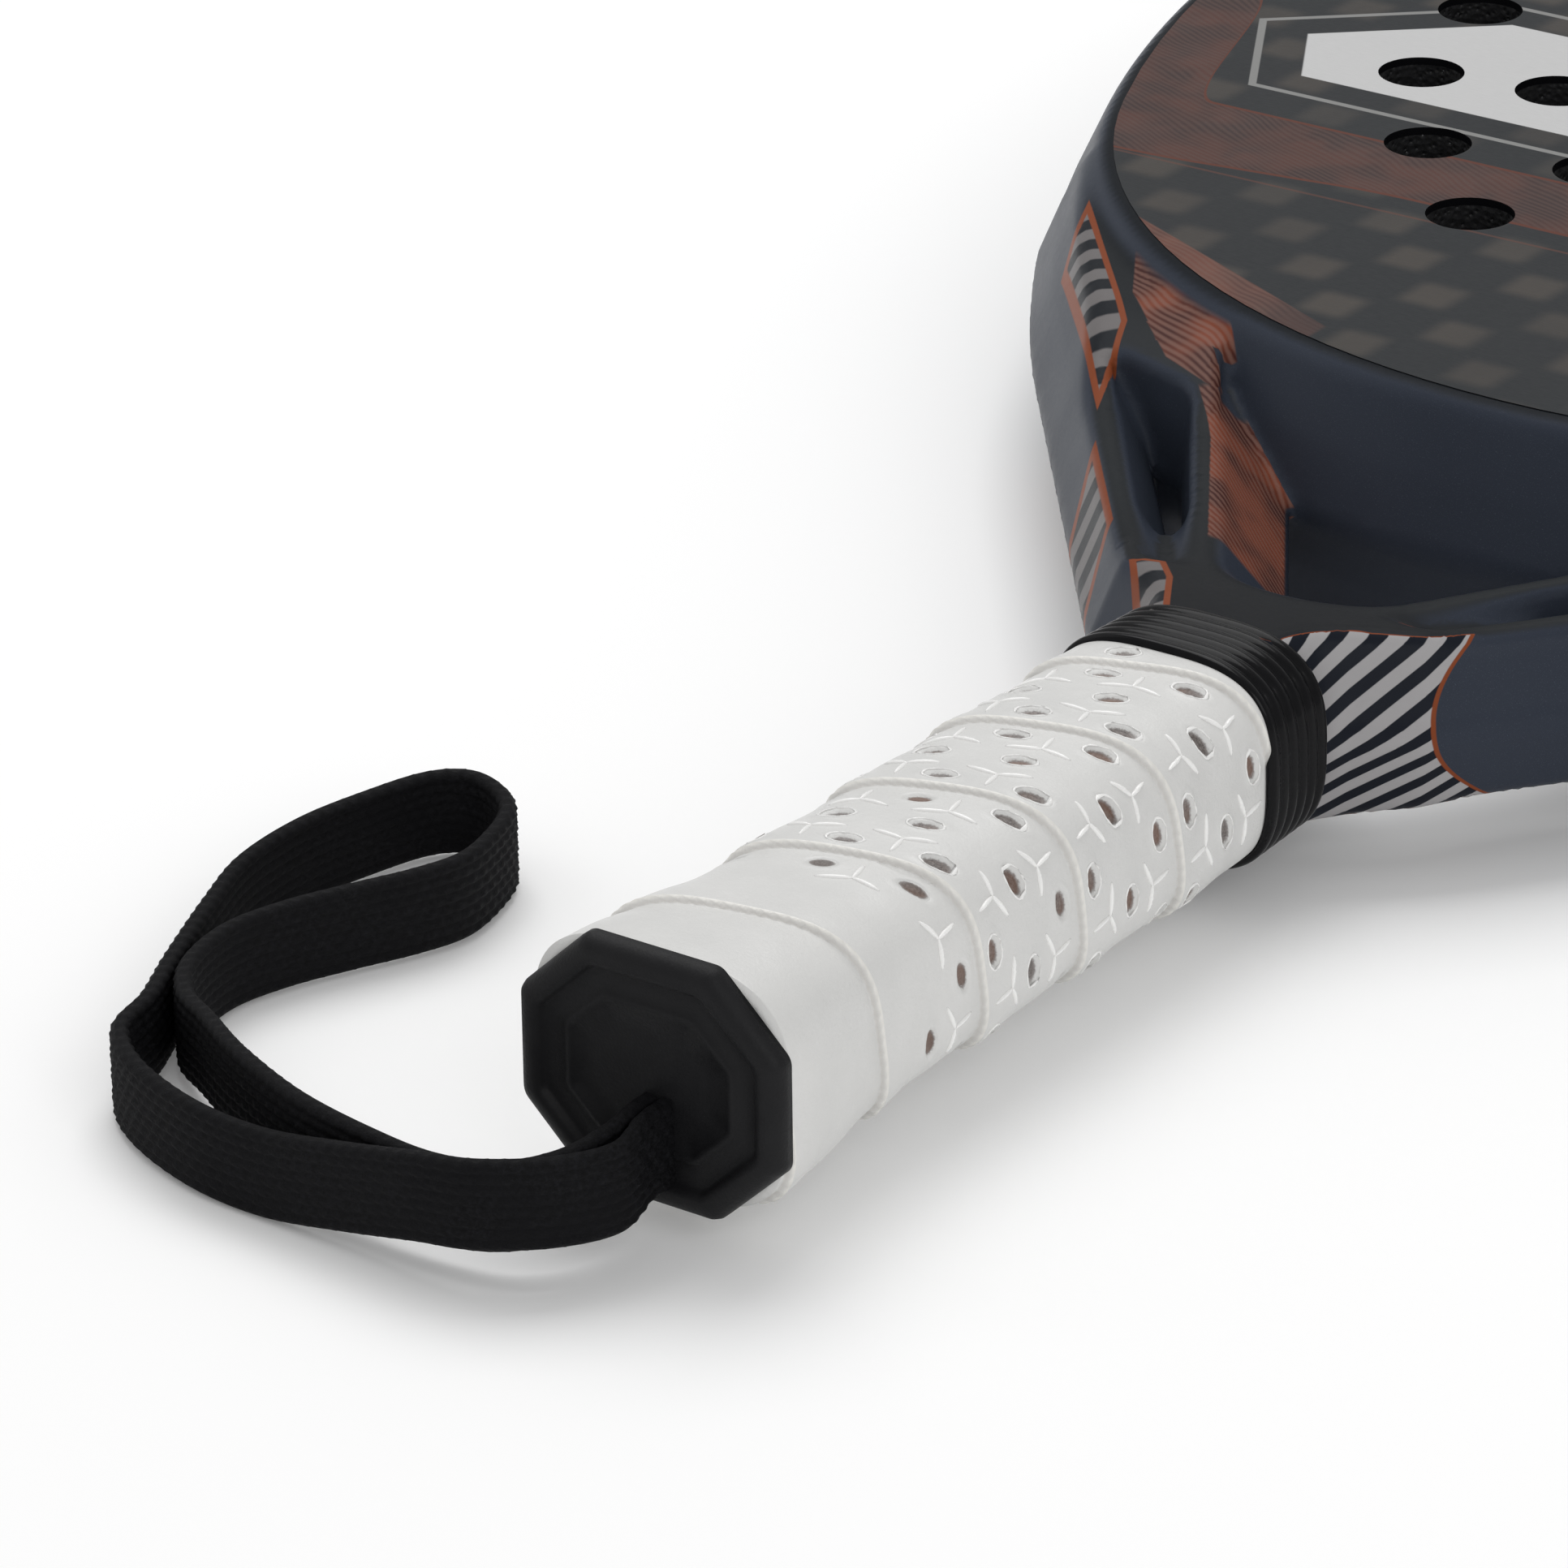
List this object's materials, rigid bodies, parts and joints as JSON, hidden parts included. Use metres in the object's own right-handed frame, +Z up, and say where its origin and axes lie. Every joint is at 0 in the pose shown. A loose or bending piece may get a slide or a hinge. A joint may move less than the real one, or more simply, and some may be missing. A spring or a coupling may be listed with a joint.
{
  "type": "padel_racket",
  "caption": "Padel racket lying flat: round graphite head with drilled carbon faces, open three-window throat, white perforated grip, rubber collar and a black woven wrist strap.",
  "frame": {"origin": "centre of the racket's bounding box, on the surface it lies on", "axes": "+Y from the butt cap to the top of the head, +Z up through the upper face, +X to the right seen from the butt"},
  "size_m": [0.26, 0.478, 0.038],
  "materials": {
    "rim_lacquer": "satin lacquer over carbon",
    "core_foam": "dark closed-cell foam",
    "carbon_face": "chequer carbon weave under clear lacquer",
    "bare_shaft": "bare moulding",
    "grip_cushion": "felted cushion layer",
    "grip_white": "perforated synthetic leather",
    "black_tape": "adhesive tape",
    "black_rubber": "glossy ribbed rubber",
    "cap_plastic": "fine-grained matt moulding",
    "strap_weave": "braided polyester"
  },
  "bodies": {
    "root": {"head_rim": "rim_lacquer", "throat_yoke": "rim_lacquer", "foam_core": "core_foam", "face_top": "carbon_face", "face_bottom": "carbon_face", "handle_shaft": "bare_shaft", "handle_foam": "core_foam", "base_grip": "grip_cushion", "grip_tape": "grip_white", "finishing_tape": "black_tape", "collar": "black_rubber", "butt_cap": "cap_plastic", "wrist_strap": "strap_weave", "strap_knot": "strap_weave"}
  },
  "joints": []
}
